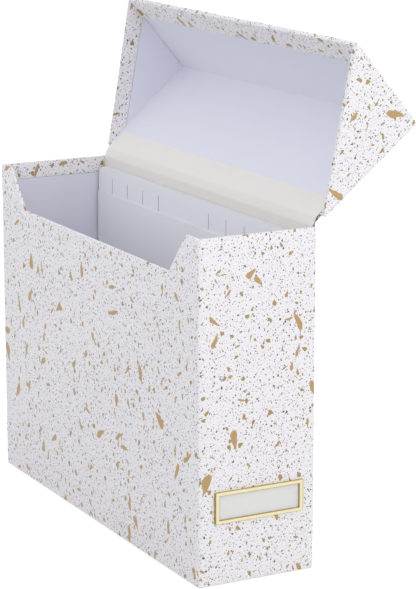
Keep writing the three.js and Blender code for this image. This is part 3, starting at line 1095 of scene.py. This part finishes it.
hinge_linen = new_strip("hinge_linen", cloth_line, CLOTH_HALF)
bpy.ops.mesh.select_all(action="SELECT")
bpy.ops.mesh.normals_make_consistent(inside=False)
round_edges(is_crease, CREASE_RADIUS, 4)
choose("EDGE", spans_length)
bpy.ops.mesh.subdivide(number_cuts=59)
choose("EDGE", runs_up)
bpy.ops.mesh.subdivide(number_cuts=5)
face_towards((0, -1, 0))
thicken(CLOTH_THICK)
threads = hinge_linen.data.uv_layers.new(name=THREAD_MAP)
for loop, spot in zip(hinge_linen.data.loops, threads.data):
    place = hinge_linen.data.vertices[loop.vertex_index].co
    spot.uv = (place.x, along_cloth(place))
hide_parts("hinge_cloth")
finish_piece(hinge_linen, linen)
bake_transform(hinge_linen)
print("cloth cut to", round(2 * CLOTH_HALF, 4), "by", round(cloth_marks[-1], 4))

# %% [markdown]
# On the outside the covering paper makes the same joint. Its strip is glued over the back and over
# the lid's top, and its crease lies on the turning line itself.

# %% The covering paper's strip on the outside
STRIP_CREASE = 1.2 * MM
strip_line = [
    (half_y, height - STRIP_LAP),
    (pivot.y, pivot.z),
    on_lid(STRIP_LAP, 0),
]
hinge_paper = new_strip("hinge_paper", strip_line, HINGE_HALF - SEAM)
round_edges(is_crease, STRIP_CREASE, 4)
choose("EDGE", spans_length)
bpy.ops.mesh.subdivide(number_cuts=23)
face_towards((0, 1, 0))
thicken(PAPER_THICK)
map_sheet(hinge_paper, lambda centre, normal, place: (place.x, place.z + place.y))
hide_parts("hinge_strip")
finish_piece(hinge_paper, cover_paper)
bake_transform(hinge_paper)

# %% [markdown]
# A folder is one card folded at the bottom, with a low leaf in front. Its back leaf has rounded
# corners and two groups of four slits, which hold index tabs. Planes cut the leaves into a grid,
# so that a broad Displace can bow them a little, and each folder leans a bit more than the
# last. Perfectly flat, parallel cards would look like one block.

# %% Card folders
CARD_THICK = 0.4 * MM
FRONT_LEAF_DROP = 21 * MM
LEAF_CORNER = 8 * MM
SLIT_WIDTH = 0.9 * MM
SLIT_HEIGHT = 12.4 * MM
SLIT_BELOW_TOP = 7.5 * MM
SLIT_FIRST = 25.6 * MM
SLIT_PITCH = 28 * MM
SLIT_GROUPS = (0, 6)
SLITS_IN_GROUP = 4
CARD_FOLD = 0.44 * MM
GRID_UP, GRID_ALONG = 9, 12
SLIVER = 1e-5
LEAN_STEP = math.radians(0.10)
BOW = 0.7 * MM

bow_noise = bpy.data.textures.new("bow_noise", "CLOUDS")
bow_noise.noise_scale = 0.3
bow_noise.noise_depth = 0


def card_folder(number, low, high):
    inside = CARD_THICK / 2
    line = [
        (low.y + inside, high.z - FRONT_LEAF_DROP),
        (low.y + inside, low.z + inside),
        (high.y - inside, low.z + inside),
        (high.y - inside, high.z),
    ]
    centre = (low.y + high.y) / 2
    top = high.z - SLIT_BELOW_TOP
    piece = new_strip(f"card_folder_{number}", line, high.x)

    def is_leaf(face):
        return face.calc_area() > SLIVER

    def back_leaf(face):
        return is_leaf(face) and middle_of(face).y > centre

    def slit_band(face):
        at = middle_of(face)
        return at.y > centre and top - SLIT_HEIGHT < at.z < top

    round_edges(is_crease, CARD_FOLD, 4)
    choose("VERT", lambda v: v.co.y > centre and v.co.z > high.z - TINY)
    bpy.ops.mesh.bevel(offset=LEAF_CORNER, segments=8, affect="VERTICES")
    for step in range(1, GRID_UP):
        cut(is_leaf, (0, 0, high.z * step / GRID_UP), (0, 0, 1))
    for step in range(1, GRID_ALONG):
        cut(is_leaf, (high.x * (2 * step / GRID_ALONG - 1), 0, 0), (1, 0, 0))
    for edge_height in (top, top - SLIT_HEIGHT):
        cut(back_leaf, (0, 0, edge_height), (0, 0, 1))
    for group in SLIT_GROUPS:
        for place in range(SLITS_IN_GROUP):
            slit = low.x + SLIT_FIRST + SLIT_PITCH * (group + place)
            for side in (-1, 1):
                cut(slit_band, (slit + side * SLIT_WIDTH / 2, 0, 0), (1, 0, 0))
            remove(lambda f: slit_band(f) and abs(middle_of(f).x - slit) < SLIT_WIDTH / 4)
    bpy.ops.mesh.select_all(action="SELECT")
    bpy.ops.mesh.normals_make_consistent(inside=False)
    apply_modifier("SOLIDIFY", thickness=CARD_THICK, offset=0, use_even_offset=True)
    apply_modifier("DISPLACE", texture=bow_noise, texture_coords="LOCAL", direction="Y",
                   strength=BOW, mid_level=0.9)
    bpy.ops.object.mode_set(mode="EDIT")
    bpy.ops.mesh.select_all(action="SELECT")
    bpy.ops.transform.rotate(value=LEAN_STEP * (number - 1), orient_axis="X",
                             center_override=(0, centre, low.z))
    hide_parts(f"folder_{number}")
    finish_piece(piece, folder_card, "box")


for number in range(1, 6):
    card_folder(number, *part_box(f"folder_{number}"))

# %% [markdown]
# The label holder is stamped from thin brass. It starts as a box without a back. Its front face is
# inset to the bars' width and pushed back to make the opening's edge, and all its corners are
# rounded. Solidify gives the sheet its thickness, so that light catches the inner edge too.

# %% Label holder
HOLDER_EDGE = 0.4 * MM
HOLDER_CORNER = 0.6 * MM
HOLDER_DEEP = 1.1 * MM
BRASS_THICK = 0.35 * MM


def label_holder(low, high):
    piece = new_box("label_holder", tuple(low), tuple(high))
    middle_y = (low.y + high.y) / 2
    remove(lambda f: f.normal.x < -0.9)
    choose("FACE", lambda f: f.normal.x > 0.9)
    bpy.ops.mesh.inset(thickness=HOLDER_RAIL)
    bpy.ops.mesh.extrude_region_move(TRANSFORM_OT_translate={"value": (-HOLDER_DEEP, 0, 0)})
    bpy.ops.mesh.delete(type="FACE")
    inner_half = (high.y - low.y) / 2 - HOLDER_RAIL + 0.01 * MM
    for side in (-1, 1):
        choose("VERT", lambda v: 5 * MM < side * (v.co.y - middle_y) < inner_half)
        bpy.ops.transform.translate(value=(0, side * (HOLDER_RAIL - HOLDER_SIDE), 0))

    def outer_corner(edge):
        at = edge_middle(edge)
        between = low.x + TINY < at.x < high.x - TINY and at.z not in (low.z, high.z)
        return between and is_corner(edge)

    round_edges(outer_corner, HOLDER_CORNER, 4)
    round_edges(is_corner, HOLDER_EDGE, 4)
    thicken(BRASS_THICK)
    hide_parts("label_frame")
    finish_piece(piece, brass, "box")


label_holder(*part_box("label_frame"))

# %% [markdown]
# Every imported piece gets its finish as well. The boards, the body's lining, the base sheet and the
# label's card are seen as they are, and the others stand behind the pieces that replace them.

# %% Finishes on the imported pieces
FINISHES = {
    "body_board": pulp_board, "lid_board": pulp_board,
    "body_cover": cover_paper, "lid_cover": cover_paper, "base_sheet": base_paper,
    "hinge_strip": cover_paper,
    "body_liner": lining_paper, "lid_liner": lining_paper,
    "hinge_cloth": linen,
    "label_frame": brass, "label_card": label_paper,
}
for name, node in nodes.items():
    finish = FINISHES.get(name, folder_card)
    node.data.materials.clear()
    node.data.materials.append(finish)
print("finishes:", len(FINISHES))
